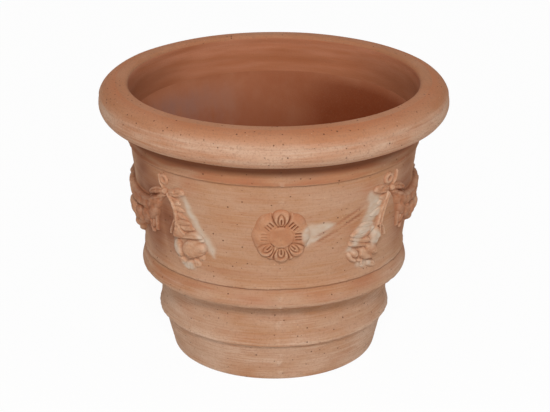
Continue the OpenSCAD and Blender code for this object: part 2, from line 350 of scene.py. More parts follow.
# Slip smeared along the ornament, in trails of places (bearing, z, half width in mm)
slip = {
    "trails": [
        [(-40.4, 227, 3), (-39.5, 216, 4.5), (-37.2, 205, 4), (-35.4, 195, 4), (-31.5, 180, 4.5),
         (-29, 169, 4.8), (-28.4, 162, 2)],
        [(38, 227, 4), (41, 216, 8.5), (40.5, 205, 9.5), (36.5, 192, 7), (32.5, 180, 5), (29.5, 167, 3.5)],
        [(40, 186, 4), (42.5, 176, 5.5), (42, 168, 4)],
        [(36, 144, 3), (39.5, 142, 4)],
        [(10.5, 184, 4), (12, 194.5, 11.5), (17, 198.5, 7.5), (22, 200, 1.5)],
        [(-46.8, 172, 2.5), (-46.4, 162, 5), (-45.8, 154, 3)],
        [(-43, 143, 4.5), (-40, 143, 4.5)],
    ],
    "heights": (130, 240), "side": 60, "soft": 3.2, "mean": 0.8, "patches": ((7, 7, 4), 59, 0.35),
    "ragged": [((11, 11, 11), seed, 3) for seed in (51, 55, 58)],
}
# Scoring of the wall beside the rosette, from one place (bearing, z) to the other
scoring = {
    "from": (12, 182), "to": (38, 213), "heights": (165, 230), "count": 4, "spread": 14, "depth": 0.8,
    "fadeIn": 0.15, "fadeOut": 0.2, "combFrom": -0.4, "waver": ((60, 60, 20), 61, 3), "mean": 0.9,
    "patches": ((40, 40, 12), 63, 0.7), "stain": 0.85, "grooveShade": 0.4, "grooveShadeFrom": 0.5, "slipLoss": 0.7,
}
# Orange wash left round the bows, places (bearing, z) with a reach in mm
wash = {"places": [(-37.5, 243, 13), (37, 236, 13), (-48, 246, 10), (30, 190, 10)], "strength": 0.55,
        "fall": 3, "mean": 0.8, "patches": ((9, 9, 5), 33, 0.4)}
# Brown stain and painted shade on the flanks, places (bearing, z) with reaches in mm across and up, and how
# strong
shadeSmudge = {"places": [(-64, 200, 34, 62, 1.0), (-51, 190, 14, 36, 1.0), (64, 205, 28, 60, 0.6)],
          "fall": 4, "mean": 0.85, "patches": ((25, 25, 12), 35, 0.4)}


def trailCover(bearing, z, trail, soft):
    # How much of a trail of slip covers a place on the wall, from 0 to 1
    r = friezeRadius(z)
    here = Vector((math.radians(bearing) * r, z))
    best = -far
    for (a0, z0, half0), (a1, z1, half1) in zip(trail, trail[1:]):
        start = Vector((math.radians(a0) * r, z0))
        run = Vector((math.radians(a1) * r, z1)) - start
        share = min(1, max(0, (here - start).dot(run) / run.length_squared))
        best = max(best, half0 + share * (half1 - half0) - (here - start - run * share).length)
    return float(ramp(best, -soft, soft))


def slipCover(co):
    low, high = slip["heights"]
    if not low < co.z < high or abs(bearingOf(co)) > slip["side"]:
        return 0.0
    ragged = co + Vector([blotch(co, spec) for spec in slip["ragged"]])
    cover = max(trailCover(bearingOf(ragged), ragged.z, trail, slip["soft"]) for trail in slip["trails"])
    return cover * (slip["mean"] + blotch(co, slip["patches"]))


def washCover(co):
    bearing, r = bearingOf(co), math.hypot(co.x, co.y)
    near = min(math.hypot(math.radians(bearing - a) * r, co.z - z) / reach for a, z, reach in wash["places"])
    return wash["strength"] * math.exp(-near ** wash["fall"]) * (wash["mean"] + blotch(co, wash["patches"]))


def shadedBrownCover(co):
    # Brown stain and painted shade on the flanks, from 0 to about 1
    bearing = bearingOf(co)
    shadedBrown = 0.0
    for a, z, wide, tall, strength in shadeSmudge["places"]:
        away = math.hypot(math.radians(bearing - a) * friezeRadius(z) / wide, (co.z - z) / tall)
        shadedBrown = max(shadedBrown, strength * math.exp(-away ** shadeSmudge["fall"]))
    return shadedBrown * (shadeSmudge["mean"] + blotch(co, shadeSmudge["patches"]))


def scoreDepth(co):
    # How deep the scoring is at a place, from 0 to about 1
    s = scoring
    (a0, z0), (a1, z1) = s["from"], s["to"]
    low, high = s["heights"]
    share = (bearingOf(co) - a0) / (a1 - a0)
    if not (0 < share < 1 and low < co.z < high):
        return 0.0
    across = (co.z - z0 - share * (z1 - z0)) / s["spread"]
    comb = math.cos(across * math.pi * s["count"] + blotch(co, s["waver"]))
    ends = ramp(share, 0, s["fadeIn"]) * ramp(1 - share, 0, s["fadeOut"])
    worn = max(0, s["mean"] + blotch(co, s["patches"]))
    return float(ramp(comb, s["combFrom"], 1.0) * ends) * max(0, 1 - across * across) * worn


# Hand work on the wet wall: wavy lips, wiping ridges, the scraped seam, slip, scoring and firing colour, and
# painted shade
outsideWear = {
    # Soft noise: reach in mm along x, y and z, seed and strength
    "sway": ((95, 95, 60), 11, 0.5), "kink": ((400, 400, 28), 13, 0.8), "ridges": ((60, 60, 2.6), 5, 0.2),
    "dents": ((60, 60, 25), 8, 0.4), "lump": ((6, 6, 7), 2, 1.5), "lipWave": ((13, 13, 9), 16, 0.45),
    "lipChips": ((7, 7, 5), 15, 0.7), "redPatches": ((45, 45, 6), 31, 1.1),
    "warmPatches": ((50, 50, 10), 41, 0.55), "limePatches": ((60, 60, 30), 21, 0.5),
    # Lines round the pot: height, reach and strength
    "lips": [(50.5, 3, 1), (105.5, 3, 1), (128.5, 3, 1), (255.5, 3, 1)],
    "redBands": [(122, 4, 0.45), (114, 6, 0.7), (58, 6, 0.3), (134, 4, 0.25)],
    # Painted shade lines under the lips, the band and the neck step
    "shadeLines": [(253.3, 0.9, 0.7), (48.3, 1.1, 0.5), (126.4, 1.1, 0.7), (103, 3, 0.3)],
    # Lime by height
    "limeTiers": [(0, 1.3), (44, 1.0), (52, 1.2), (60, 0.55), (100, 0.6), (106, 0.7), (113, 0.4), (124, 0.2),
                  (129, 1.0), (133, 0.5), (140, 0.4), (240, 0.4), (256, 0.15), (280, 0.05)],
    # Reaches in mm and degrees over which a mark sets in
    "footHold": (0, 8), "seatHold": (0, 6), "seamKink": 14, "seamLump": 3.5, "neck": (253, 257),
    "neckShade": (254, 258), "underRim": (262, 274), "flank": (15, 50), "footFlank": (25, 60),
    "footTop": (118, 124),
    # Strengths
    # The red of the neck and of its flanks, rimShade and flankShade are painted shade under the rim
    "slipThick": 0.3, "neckShadeRed": 0.75, "flankShadeRed": 0.9, "redMean": 0.45, "warmLess": 0.055, "footLime": 0.45,
    "limeMean": 0.75, "lumpLime": 0.8, "rimShade": 1.6, "flankShade": 0.35, "lineCover": 0.6,
    "brownShade": 0.7, "slipCover": 0.9, "mostStain": 0.95, "mostCrease": 0.85,
}


def wearOutside(v, side, marks):
    w = outsideWear
    co = v.co.copy()
    out = Vector((co.x, co.y, 0)).normalized()
    turned = abs(bearingOf(co))
    seam = math.radians(min(turned, 180 - turned)) * math.hypot(co.x, co.y)
    lip = bands(co.z, w["lips"])
    lump = math.exp(-(seam / w["seamLump"]) ** 2) * max(0, blotch(co, w["lump"]))
    slipHere = slipCover(co)
    shadedBrown = shadedBrownCover(co)
    score = scoreDepth(co)
    # Shape
    wavy = blotch(co, w["sway"]) + side * math.exp(-seam / w["seamKink"]) * blotch(co, w["kink"])
    wavy += lip * blotch(co, w["lipWave"])
    shift = blotch(co, w["ridges"]) + blotch(co, w["dents"]) + lump + lip * blotch(co, w["lipChips"])
    shift += w["slipThick"] * slipHere - scoring["depth"] * score
    free = float(min(ramp(co.z, *w["footHold"]), ramp(wall["rimSeat"] - co.z, *w["seatHold"])))
    v.co += out * free * shift
    v.co.z += free * wavy
    # Firing colour, a warm red painted on the shaded neck under the rim, and painted shade
    flank = float(ramp(turned, *w["flank"]))
    # The neck under the rim is painted warm red for its shade, redder on the flanks
    red = (w["neckShadeRed"] + w["flankShadeRed"] * flank) * float(ramp(co.z, *w["neck"])) + bands(co.z, w["redBands"])
    stain = red * max(0, w["redMean"] + blotch(co, w["redPatches"]))
    stain += max(0, blotch(co, w["warmPatches"]) - w["warmLess"])
    stain = max(stain, washCover(co), shadedBrown, scoring["stain"] * score)
    lime = float(np.interp(co.z, *zip(*w["limeTiers"])))
    lime += w["footLime"] * float(ramp(turned, *w["footFlank"]) * (1 - ramp(co.z, *w["footTop"])))
    # Painted shade under the lips, painted shadow under the rim and painted shade on the flanks of the neck
    lines = bands(co.z, w["shadeLines"]) + w["rimShade"] * float(ramp(co.z, *w["underRim"]))
    lines += w["flankShade"] * flank * float(ramp(co.z, *w["neckShade"]))
    # Painted shade in the deepest scoring
    scraped = scoring["grooveShade"] * float(ramp(score, scoring["grooveShadeFrom"], 1.0))
    v[marks["bloom"]] = lime * (w["limeMean"] + blotch(co, w["limePatches"])) + w["lumpLime"] * lump
    v[marks["stain"]] = min(w["mostStain"], stain)
    v[marks["slip"]] = min(1, max(0, slipHere * (1 - scoring["slipLoss"] * score))) * w["slipCover"]
    v[marks["crease"]] = min(w["mostCrease"], w["lineCover"] * lines + w["brownShade"] * shadedBrown + scraped)


# Inside of the wall: hand-pressed dents, lime to the left, redder to the right and in the depth, and painted
# shade under the rim seat
insideWear = {
    "dents": ((16, 16, 70), 3, 0.5), "hold": 1, "sway": ((50, 50, 50), 17, 0.15), "lime": 0.8,
    "limeSide": (-0.9, 0.1), "limeDepth": (2, 24), "red": 0.36, "redDepth": (0, 80), "sideRed": 0.8,
    "redSide": (-0.15, 0.8), "sideDepth": (-4, 14), "mostStain": 0.9, "jointShade": 0.08, "jointDepth": (0, 9),
}


def wearInside(v, marks):
    w = insideWear
    co = v.co.copy()
    out = Vector((co.x, co.y, 0)).normalized()
    if w["hold"] < co.z < wall["rimSeat"] - w["hold"]:
        v.co += out * min(0, blotch(co, w["dents"]))
    aside = out.x + blotch(co, w["sway"])
    deep = wall["rimSeat"] - co.z
    lime = w["lime"] * (1 - ramp(aside, *w["limeSide"])) * ramp(deep, *w["limeDepth"])
    red = w["red"] * ramp(deep, *w["redDepth"])
    red += w["sideRed"] * ramp(aside, *w["redSide"]) * ramp(deep, *w["sideDepth"])
    v[marks["bloom"]] = float(lime)
    v[marks["stain"]] = float(min(w["mostStain"], red))
    # Painted shade just below the rim seat
    v[marks["crease"]] = float(w["jointShade"] * (1 - ramp(deep, *w["jointDepth"])))


def makeWallHalf(name, node, startAngle, side):
    bm = bmesh.new()
    wallOutline(bm)
    start = Matrix.Rotation(math.radians(startAngle), 3, "Z")
    bmesh.ops.rotate(bm, cent=(0, 0, 0), matrix=start, verts=bm.verts)
    bmesh.ops.spin(bm, geom=bm.verts[:] + bm.edges[:], cent=(0, 0, 0), axis=(0, 0, 1), angle=math.pi,
                   steps=wall["steps"], use_merge=False)
    bmesh.ops.edgeloop_fill(bm, edges=[e for e in bm.edges if e.is_boundary])
    bmesh.ops.recalc_face_normals(bm, faces=bm.faces)
    for face in bm.faces:
        centre = face.calc_center_median()
        inside = math.hypot(centre.x, centre.y) < innerRadius(centre.z) + wall["insideFaces"]
        upright = len(face.verts) == 4 and abs(face.normal.z) < wall["level"]
        face.material_index = int(inside and upright)
    marks = markLayers(bm)
    for v in bm.verts:
        if math.hypot(v.co.x, v.co.y) > innerRadius(v.co.z) + wall["insidePoints"]:
            wearOutside(v, side, marks)
        else:
            wearInside(v, marks)
    finishPiece(bm, name, [clay["wipedTerracotta"], clay["insideTerracotta"]], node)


makeWallHalf("wallHalfLeft", "wall_half_left", 90, -1)
makeWallHalf("wallHalfRight", "wall_half_right", -90, 1)
print("wall halves made")


# Rim roll

rim = {
    "seat": 280, "mouth": 160, "rollCentre": (178.5, 301.5), "arcSteps": 34, "rounding": 6, "steps": 440,
    # Inside of the rim from the top down: radius, height and how far off the rounding starts
    "collar": [(165.4, 323, 5), (164.4, 306, 8), (161.5, 291, 8)],
    "outsideStep": 1.7, "insideStep": 2.0, "fineRadius": 168, "collarRadius": 167, "collarTop": 319,
    "seatSkin": 0.5,
}
# Thumbed unevenness, all of it inward from the roll: soft noise as reach in mm, seed and strength
rimWear = {
    "thumbed": [((80, 80, 40), 71, 0.5), ((60, 60, 4.5), 75, 0.16)],
    # Collar: how its unevenness fades at the seat and the top edge, and how far the front leans in
    "seatFade": (280, 292), "topFade": (312, 321), "topHold": 0.8, "frontIn": 2.4, "frontRise": (280, 315),
    "frontFade": (1, 8), "low": (298.5, 318.5), "flank": (0.5, 0.95), "collarStain": 0.18,
    "collarPatches": ((60, 60, 8), 95, 0.35), "lowStain": 0.3, "mostCollarStain": 0.9, "lowShade": 0.4,
    # Roll: a scraped lower face up to a wandering ridge, in degrees round the roll from its widest place
    "ridge": 15, "wander": ((150, 150, 900), 81, 5), "scraped": 1.1, "ridgeTop": (0, 6),
    "scrapedFrom": (-38, 0), "paleFade": (-2, 30), "paleMean": 0.85, "palePatches": ((50, 50, 18), 85, 0.3),
    "underLoss": 0.5, "under": (40, 70), "warmTop": (35, 100), "warm": 0.65,
    # The last two set the painted shadow on the underside of the roll
    "warmPatches": ((70, 70, 7), 91, 0.3), "mostStain": 0.8, "underShade": 0.55, "underShadeSpan": (48, 85),
}


def wearCollar(v, r, soft, marks):
    # The mouth is a little narrower at the front, and its edge is the top of the rim
    w = rimWear
    co = v.co.copy()
    hold = ramp(co.z, *w["seatFade"]) * (1 - w["topHold"] * ramp(co.z, *w["topFade"]))
    lean = ramp(co.z, *w["frontRise"]) * ramp(rim["rollCentre"][0] - r, *w["frontFade"])
    v.co += v.normal * soft * float(hold)
    v.co -= Vector((co.x / r, co.y / r, 0)) * w["frontIn"] * max(0, -co.y / r) ** 2 * float(lean)
    low = 1 - float(ramp(co.z, *w["low"]))
    stain = w["collarStain"] + blotch(co, w["collarPatches"]) + w["lowStain"] * low * low
    v[marks["stain"]] = min(w["mostCollarStain"], max(0, stain))
    # Painted shade low on the flanks of the collar
    v[marks["crease"]] = low * w["lowShade"] * float(ramp(abs(co.x) / r, *w["flank"]))


def wearRoll(v, around, soft, marks):
    # The lower face is scraped flatter up to the ridge, and stays paler there
    w = rimWear
    co = v.co.copy()
    line = around - w["ridge"] - blotch(co, w["wander"])
    scraped = w["scraped"] * float((1 - ramp(line, *w["ridgeTop"])) * ramp(line, *w["scrapedFrom"]))
    v.co += v.normal * (soft - scraped)
    pale = (1 - float(ramp(line, *w["paleFade"]))) * (w["paleMean"] + blotch(co, w["palePatches"]))
    v[marks["bloom"]] = min(1, max(0, pale)) * (1 - w["underLoss"] * float(ramp(-around, *w["under"])))
    warm = w["warm"] * float(ramp(around, *w["warmTop"])) + max(0, blotch(co, w["warmPatches"]))
    v[marks["stain"]] = min(w["mostStain"], warm)
    # Painted shadow on the underside of the roll
    v[marks["crease"]] = w["underShade"] * float(ramp(-around, *w["underShadeSpan"]))


def makeRim():
    bm = bmesh.new()
    bm.verts.layers.float.new("cut")
    centreR, centreZ = rim["rollCentre"]
    first = outlineTo(bm, None, rim["mouth"], rim["seat"])
    last = arcTo(bm, outlineTo(bm, first, centreR, rim["seat"]), rim["rollCentre"], -180, rim["arcSteps"])
    for corner in rim["collar"]:
        last = outlineTo(bm, last, *corner)
    bm.edges.new((last, first))
    roundCorners(bm, rim["rounding"])
    splitLong(bm, lambda co: rim["outsideStep"] if co.x > rim["fineRadius"] else rim["insideStep"])
    spinRing(bm, rim["steps"])
    marks = markLayers(bm)
    for face in bm.faces:
        centre = face.calc_center_median()
        inside = math.hypot(centre.x, centre.y) < rim["collarRadius"]
        face.material_index = int(inside and centre.z < rim["collarTop"])
    for v in bm.verts:
        r = math.hypot(v.co.x, v.co.y)
        if v.co.z < rim["seat"] + rim["seatSkin"] and rim["mouth"] + rim["seatSkin"] < r < centreR:
            continue
        soft = sum(blotch(v.co, spec) - spec[2] for spec in rimWear["thumbed"])
        if r < centreR:
            wearCollar(v, r, soft, marks)
        else:
            wearRoll(v, math.degrees(math.atan2(v.co.z - centreZ, r - centreR)), soft, marks)
    finishes = [clay["rolledTerracotta"], clay["collarTerracotta"]]
    finishPiece(bm, "rimRoll", finishes, "rim_roll")


makeRim()
print("rim roll made")


# Floor slab with its drain hole

slab = {
    "corners": [(16, 0, 1.5), (96.6, 0, 1), (101.1, 20, 1), (16, 20, 3)], "rounding": 4, "longest": 4,
    "steps": 160, "top": 19.5, "uneven": ((18, 18, 18), 97, 0.6),
}


def makeFloorSlab():
    bm = bmesh.new()
    drawOutline(bm, slab["corners"], slab["rounding"], lambda co: slab["longest"])
    spinRing(bm, slab["steps"])
    for v in bm.verts:
        if v.co.z > slab["top"]:
            v.co.z += blotch(v.co, slab["uneven"]) - slab["uneven"][2]
    finishPiece(bm, "floorSlab", [clay["insideTerracotta"]], "floor_slab")


makeFloorSlab()
print("floor slab made")


# Pressed ornament. A press mould has no undercuts, so each piece is a field of heights over the frieze,
# drawn flat in mm (across, up) and then bent round the cone of the wall

relief = {
    # Sizes, and heights over the wall, in mm
    "cell": 0.5, "sunk": -1.4, "back": -2.2, "grooveWidth": 0.7, "groove": 0.6, "skirtShare": 0.85,
    "skirtDrop": 1.1, "bedLift": 0.01, "bare": -9.0,
    # Reaches in cells, and turns of smoothing
    "skirt": 4, "bed": 6, "hollowReach": 2, "wornReach": 6, "soften": 2, "softenShare": 0.5,
    # How far the press melts the forms, and the roughness of the clay
    "melted": 0.7, "roughReach": (5, 5, 1), "rough": 0.28,
    # Forms: height of a cushion's edge, how much a strand sinks as it thins, and how full a fruit is
    "brim": 0.25, "sinking": 0.4, "fullness": 2.3,
    # Painted shade in hollows, lime on what is worn, and stain
    "hollow": (0.1, 0.8), "edgeShade": 0.25, "edgeFade": (0.2, 1.2), "wornHigh": 1.5, "wornLime": 0.6,
    "stainReach": (14, 14, 14), "stainSeed": 3, "stainPatches": 0.45, "slipCover": 0.95, "shadedBrownStain": 0.5,
    "brownShade": 0.3, "mostStain": 0.9, "mostCrease": 0.85,
}


def flatGrid(span, cell):
    # Places (across, up) of a grid over a span (left, right, low, high) in mm
    left, right, low, high = span
    return np.meshgrid(np.linspace(left, right, round((right - left) / cell) + 1),
                       np.linspace(low, high, round((high - low) / cell) + 1))


def stroke(away, wide):
    # Soft line, from 1 in its middle to 0 beside it
    return np.exp(-(away / wide) ** 2)


def bareField(across):
    return np.full(across.shape, relief["bare"])


def lay(surface, height, edge, groove=relief["groove"]):
    # A form on top of what is there, with a pressed line round it; edge is negative inside the form
    line = groove * stroke(np.maximum(edge, 0), relief["grooveWidth"])
    cut = surface - np.where((edge >= 0) & (surface > 0), line, 0)
    return np.maximum(cut, np.where(edge < 0, height, relief["bare"]))


def bentRoute(points, closed=False, count=7):
    # Smooth route through a few points
    points = [tuple(p) for p in points]
    padded = [points[-1]] + points + points[:2] if closed else [points[0]] + points + [points[-1]]
    route = []
    for p0, p1, p2, p3 in zip(padded, padded[1:], padded[2:], padded[3:]):
        for i in range(count):
            t = i / count
            route.append(tuple(0.5 * (2 * b + (c - a) * t + (2 * a - 5 * b + 4 * c - d) * t * t
                                      + (3 * b - a - 3 * c + d) * t ** 3)
                               for a, b, c, d in zip(p0, p1, p2, p3)))
    return route + [route[0] if closed else points[-1]]


def awayFrom(across, up, route):
    # Distance in mm to a route, and where along it from 0 to 1
    best = np.full(across.shape, far)
    along = np.zeros(across.shape)
    for i, ((x0, y0), (x1, y1)) in enumerate(zip(route, route[1:])):
        runX, runY = x1 - x0, y1 - y0
        share = np.clip(((across - x0) * runX + (up - y0) * runY) / (runX ** 2 + runY ** 2 + tiny), 0, 1)
        away = np.hypot(across - x0 - share * runX, up - y0 - share * runY)
        along = np.where(away < best, (i + share) / (len(route) - 1), along)
        best = np.minimum(best, away)
    return best, along


def lobe(across, up, corners, high, soft, lean=(0, 0)):
    # Cushion with a rounded edge inside a smooth outline; lean tips its top, in mm per mm
    route = bentRoute(corners, closed=True)
    away = awayFrom(across, up, route)[0]
    inside = np.zeros(across.shape, bool)
    for (x0, y0), (x1, y1) in zip(route, route[1:]):
        crossing = (y0 > up) != (y1 > up)
        inside ^= crossing & (across < x0 + (up - y0) * (x1 - x0) / (y1 - y0 if y1 != y0 else 1))
    middle = np.mean(np.array(corners), axis=0)
    tip = (across - middle[0]) * lean[0] + (up - middle[1]) * lean[1]
    rise = np.sqrt(1 - (1 - np.clip(away / soft, 0, 1)) ** 2)
    brim = relief["brim"]
    return (high + tip) * (brim + (1 - brim) * rise), np.where(inside, -away, away)


def ridge(across, up, points, half, high, taper=0.0):
    # Round strand along a route, thinner and a little lower towards its end
    away, along = awayFrom(across, up, bentRoute(points))
    width = half * (1 - taper * along)
    top = high * (1 - relief["sinking"] * taper * along)
    return top * np.sqrt(np.clip(1 - (away / width) ** 2, 0, 1)), away - width


def fruit(across, up, centre, size, high):
    # Dome of a fruit or berry, a little fuller than a ball; size is half width and half height
    reach = np.hypot((across - centre[0]) / size[0], (up - centre[1]) / size[1])
    return high * np.sqrt(np.clip(1 - reach ** relief["fullness"], 0, 1)), (reach - 1) * min(size)


# Leaf: blunt base, pointed tip, a pressed midrib and slanting side veins
leafForm = {"blunt": 0.8, "full": 0.7, "least": 0.05, "round": 0.45, "rib": 0.6, "ribWidth": 0.75,
            "ribEnd": 1.15, "veins": 5, "slant": 0.9, "veinDepth": 0.15, "swell": 0.9, "swellFrom": 0.08,
            "ends": (0.001, 0.999)}


def leaf(across, up, base, tip, half, high, bend=0):
    s = leafForm
    length = math.hypot(tip[0] - base[0], tip[1] - base[1])
    dirX, dirY = (tip[0] - base[0]) / length, (tip[1] - base[1]) / length
    along = ((across - base[0]) * dirX + (up - base[1]) * dirY) / length
    t = np.clip(along, *s["ends"])
    side = (up - base[1]) * dirX - (across - base[0]) * dirY - bend * 4 * t * (1 - t)
    width = half * np.sin(math.pi * t ** s["blunt"]) ** s["full"] + s["least"]
    edge = np.where((along > 0) & (along < 1), np.abs(side) - width, far)
    # Fullest a little before the middle
    rise = high * (0.5 + 0.5 * np.sin(math.pi * np.clip(t * s["swell"] + s["swellFrom"], 0, 1)))
    height = rise * np.clip(1 - (side / width) ** 2, 0, 1) ** s["round"]
    height -= s["rib"] * stroke(side, s["ribWidth"]) * np.clip(s["ribEnd"] - along, 0, 1)
    waves = 1 - np.cos(2 * math.pi * (t * s["veins"] - np.abs(side) / half * s["slant"]))
    return height - s["veinDepth"] * waves * (np.abs(side) < width), edge


def scored(field, across, up, points, wide, deep):
    # A line pressed into what is there
    away = awayFrom(across, up, bentRoute(points))[0]
    return field - np.where(field > 0, deep * stroke(away, wide), 0)


def dimpled(field, across, up, centre, wide, deep):
    # A round pit pressed into what is there
    away = np.hypot(across - centre[0], up - centre[1])
    return field - np.where(field > 0, deep * stroke(away, wide), 0)


def blurred(field, reach):
    # Mean over a square of cells, made by running sums along both ways
    size = 2 * reach + 1
    for axis in (0, 1):
        ends = [(reach + 1, reach) if a == axis else (0, 0) for a in (0, 1)]
        total = np.cumsum(np.pad(field, ends, mode="edge"), axis=axis)
        field = (np.take(total, range(size, total.shape[axis]), axis)
                 - np.take(total, range(0, total.shape[axis] - size), axis)) / size
    return field


def keptCells(field):
    # Cells that reach above the sunk level; where two meet only at a corner, the other two are kept as well
    up = field > relief["sunk"] + relief["bedLift"]
    cells = up[:-1, :-1] | up[:-1, 1:] | up[1:, :-1] | up[1:, 1:]
    quarters = (cells[:-1, :-1], cells[:-1, 1:], cells[1:, :-1], cells[1:, 1:])
    while True:
        a, b, c, d = quarters
        pinched = (a & d & ~b & ~c) | (b & c & ~a & ~d)
        if not pinched.any():
            return cells
        for quarter in quarters:
            quarter |= pinched


def pressField(field, across, up, seed, melt):
    # Forms as they leave the mould: softened, rough, and with a fillet of squeezed clay along the edge
    s = relief
    spec = (s["roughReach"], seed, s["rough"])
    rough = np.array([[blotch((x, y, seed), spec) for x in across] for y in up])
    melted = (1 - s["melted"]) * field + s["melted"] * blurred(np.maximum(field, 0), melt)
    field = np.where(field > 0, melted + rough, field)
    fillet = blurred(np.maximum(field, 0), s["skirt"]) * s["skirtShare"] - s["skirtDrop"]
    return np.maximum(np.maximum(field, fillet), s["sunk"])


def makeRelief(name, node, bearing, span, field, seed, finish):
    # A field of heights over a span of the frieze, as a closed piece bedded in the wall; finish is how far
    # the press has softened it, how brown and pale it is and how dark the painted shade in its hollows is
    s = relief
    left, right, low, high = span
    rows, cols = (count - 1 for count in field.shape)
    field = pressField(field, np.linspace(left, right, cols + 1), np.linspace(low, high, rows + 1), seed,
                       finish["melt"])
    least, most = s["hollow"]
    hollow = np.clip((blurred(np.maximum(field, 0), s["hollowReach"]) - field - least) / (most - least), 0, 1)
    hollow *= s["edgeShade"] + (1 - s["edgeShade"]) * ramp(field, *s["edgeFade"])
    worn = np.clip((field - blurred(field, s["wornReach"])) / s["wornHigh"], 0, 1)
    # Only a narrow bed is kept round what stands up
    field = np.where(blurred(np.maximum(field, 0), s["bed"]) > s["bedLift"], field, s["sunk"])
    kept = keptCells(field)
    bm = bmesh.new()
    bmesh.ops.create_grid(bm, x_segments=cols, y_segments=rows, size=0.5)
    bmesh.ops.scale(bm, vec=(right - left, high - low, 1), verts=bm.verts)
    bmesh.ops.translate(bm, vec=((left + right) / 2, (low + high) / 2, 0), verts=bm.verts)
    lift = bm.verts.layers.float.new("lift")
    marks = markLayers(bm)
    patches = (s["stainReach"], seed + s["stainSeed"], s["stainPatches"])
    for v in bm.verts:
        place = round((v.co.y - low) / (high - low) * rows), round((v.co.x - left) / (right - left) * cols)
        v[lift] = field[place]
        # Painted shade in the hollows, less at the edge of the forms
        v[marks["crease"]] = float(finish["crease"] * hollow[place])
        v[marks["bloom"]] = float(finish["bloom"] + s["wornLime"] * worn[place])
        v[marks["stain"]] = max(0, finish["stain"] + blotch(v.co, patches))
    bare = []
    for face in bm.faces:
        centre = face.calc_center_median()
        row = int((centre.y - low) / (high - low) * rows)
        if not kept[row, int((centre.x - left) / (right - left) * cols)]:
            bare.append(face)
    bmesh.ops.delete(bm, geom=bare, context="FACES")
    base = bm.verts[:]
    made = bmesh.ops.extrude_face_region(bm, geom=bm.faces[:])
    top = [item for item in made["geom"] if isinstance(item, bmesh.types.BMVert)]
    for v in top:
        v.co.z = v[lift]
    for v in base:
        v.co.z = s["back"]
    for turn in range(s["soften"]):
        bmesh.ops.smooth_vert(bm, verts=top, factor=s["softenShare"], use_axis_z=True)
    for v in bm.verts:
        r = friezeRadius(v.co.y)
        angle = math.radians(bearing) + v.co.x / r
        r += v.co.z
        v.co = Vector((r * math.sin(angle), -r * math.cos(angle), v.co.y))
        # Brown stain and painted shade on the flanks, added to the stain and the painted shade
        shadedBrown = shadedBrownCover(v.co)
        v[marks["slip"]] = s["slipCover"] * slipCover(v.co)
        v[marks["stain"]] = min(s["mostStain"], v[marks["stain"]] + s["shadedBrownStain"] * shadedBrown)
        v[marks["crease"]] = min(s["mostCrease"], v[marks["crease"]] + s["brownShade"] * shadedBrown)
    bmesh.ops.recalc_face_normals(bm, faces=bm.faces)
    if bm.calc_volume(signed=True) < 0:
        bmesh.ops.reverse_faces(bm, faces=bm.faces)
    finishPiece(bm, name, [clay["pressedTerracotta"]], node)


# Rosettes: a low dome with a plain boss and eight petals drawn in it by pressed lines

rosette = {
    "centre": 194, "reach": 35, "petals": 8, "radius": 31.6, "scallop": 0.7, "high": 6.4,
    # Edge of the dome: its steepness and bluntness at the top and what the lower half has more or less
    "steep": (5, 6), "blunt": (0.95, -0.45), "lower": (0, 0.7),
    "boss": 12.8, "bossHigh": 0.3, "bossFade": 2, "bossLine": 0.2, "bossLineWidth": 0.8,
    "petalMiddle": 22.6, "petalLong": 9.6, "petalWide": 7.9, "tipWider": 0.28, "petalSwell": 0.7,
    "topSwell": 1.15, "petalFrom": 11.52, "eyeMiddle": 19.4, "eyeLong": 6.6, "eyeWide": 3.5, "eyeDeep": 0.9,
    "slotFrom": 14.5, "slotTo": 21.5, "slotSoft": 1, "line": 0.95, "deep": 3.2,
    # Between the petals the dome drops, with a dart left standing
    "dropFade": (0, 1.5), "dart": 0.9, "dartWidth": (0.8, 1.6), "dartFrom": (22, 25),
    # Petals drawn in full, counted leftwards from the top; the others are three short strokes
    "full": (0, 3, 4, 5),
    # The left side is rubbed nearly smooth and the right side a little: direction, where from, how much
    "rubbed": [(3.1, 0.55, 0.6), (-0.1, 0.6, 0.2)], "rubbedFull": 0.95,
    "finish": {"melt": 1, "stain": 0.3, "crease": 1.0, "bloom": 0.0}, "seed": 101,
}


